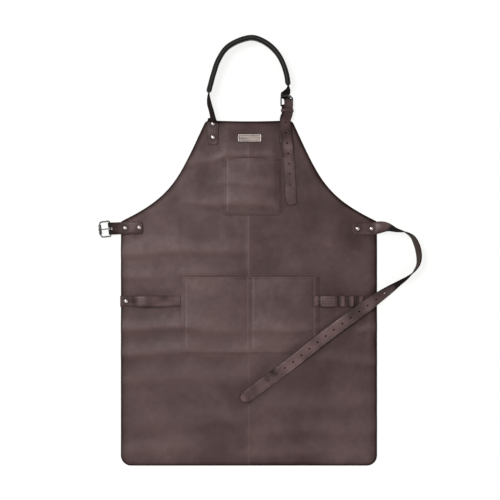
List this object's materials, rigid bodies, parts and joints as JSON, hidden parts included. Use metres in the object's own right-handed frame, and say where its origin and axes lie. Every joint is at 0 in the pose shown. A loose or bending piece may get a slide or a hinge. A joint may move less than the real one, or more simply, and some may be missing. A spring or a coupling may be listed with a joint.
{
  "type": "welding apron",
  "caption": "Leather welding apron laid flat, with patch pockets, a towel loop, tool loops, a padded buckled neck strap and a buckled waist strap.",
  "frame": {"origin": "underside of the leather panel, at the middle of its width and height", "axes": "+X to the right as the front is seen, +Y towards the bib and neck strap, +Z out of the front face"},
  "size_m": [0.7916, 1.053, 0.0394],
  "materials": {
    "waxed_leather": "waxed pull-up leather, satin",
    "strap_leather": "strap leather, satin, painted edges",
    "pad_leather": "black lining leather, matt",
    "nickel": "polished nickel plate",
    "pewter": "brushed pewter"
  },
  "bodies": {
    "apron": {"apron_panel": "waxed_leather", "bib_pocket": "waxed_leather", "lower_pocket": "waxed_leather", "badge_plate": "pewter", "towel_loop": "strap_leather", "tool_loops": "strap_leather", "neck_strap": "strap_leather", "neck_buckle_strap": "strap_leather", "neck_strap_keeper": "strap_leather", "waist_buckle_strap": "strap_leather", "waist_strap": "strap_leather", "neck_pad_outer": "pad_leather", "neck_pad_inner": "pad_leather", "neck_left_rivet_upper_cap": "nickel", "neck_left_rivet_upper_post": "nickel", "neck_left_rivet_lower_cap": "nickel", "neck_left_rivet_lower_post": "nickel", "neck_right_rivet_upper_cap": "nickel", "neck_right_rivet_upper_post": "nickel", "neck_right_rivet_lower_cap": "nickel", "neck_right_rivet_lower_post": "nickel", "waist_left_rivet_outer_cap": "nickel", "waist_left_rivet_outer_post": "nickel", "waist_left_rivet_inner_cap": "nickel", "waist_left_rivet_inner_post": "nickel", "waist_right_rivet_outer_cap": "nickel", "waist_right_rivet_outer_post": "nickel", "waist_right_rivet_inner_cap": "nickel", "waist_right_rivet_inner_post": "nickel", "towel_loop_rivet_cap": "nickel", "towel_loop_rivet_post": "nickel", "tool_loops_rivet_cap": "nickel", "tool_loops_rivet_post": "nickel"},
    "waist_frame": {"waist_buckle_frame": "nickel"},
    "waist_prong": {"waist_buckle_prong": "nickel"},
    "waist_roller": {"waist_buckle_roller": "nickel"},
    "neck_frame": {"neck_buckle_frame": "nickel"},
    "neck_prong": {"neck_buckle_prong": "nickel"},
    "neck_roller": {"neck_buckle_roller": "nickel"},
    "waist_tail": {"waist_strap_tail": "strap_leather"},
    "neck_tail": {"neck_strap_tail": "strap_leather"}
  },
  "joints": [
    {"name": "waist_buckle_hinge", "type": "hinge", "parent": "apron", "child": "waist_frame", "pos_m": [-0.34, 0.1576, 0.0069], "axis": [-0.1045, 0.9945, 0], "range_deg": [-60, 50]},
    {"name": "waist_prong_hinge", "type": "hinge", "parent": "waist_frame", "child": "waist_prong", "pos_m": [-0.34, 0.1576, 0.0069], "axis": [-0.1045, 0.9945, 0], "range_deg": [0, 90]},
    {"name": "waist_roller_spin", "type": "hinge", "parent": "waist_frame", "child": "waist_roller", "pos_m": [-0.36463, 0.15501, 0.0035], "axis": [-0.1045, 0.9945, 0], "continuous": true},
    {"name": "neck_buckle_hinge", "type": "hinge", "parent": "apron", "child": "neck_frame", "pos_m": [0.0923, 0.4558, 0.0154], "axis": [0.766, 0, -0.6428], "range_deg": [-1.5, 1.5]},
    {"name": "neck_prong_hinge", "type": "hinge", "parent": "neck_frame", "child": "neck_prong", "pos_m": [0.0923, 0.4558, 0.0154], "axis": [0.766, 0, -0.6428], "range_deg": [0, 1.5]},
    {"name": "neck_roller_spin", "type": "hinge", "parent": "neck_frame", "child": "neck_roller", "pos_m": [0.0923, 0.4808, 0.0154], "axis": [0.766, 0, -0.6428], "continuous": true},
    {"name": "waist_tail_lift", "type": "hinge", "parent": "apron", "child": "waist_tail", "pos_m": [0.26478, -0.0481, 0.0139], "axis": [-0.5869, 0.808, 0.0522], "range_deg": [0, 80]},
    {"name": "neck_tail_lift", "type": "hinge", "parent": "apron", "child": "neck_tail", "pos_m": [0.08931, 0.41293, 0.01639], "axis": [-0.9207, -0.0223, 0.3896], "range_deg": [0, 80]}
  ]
}
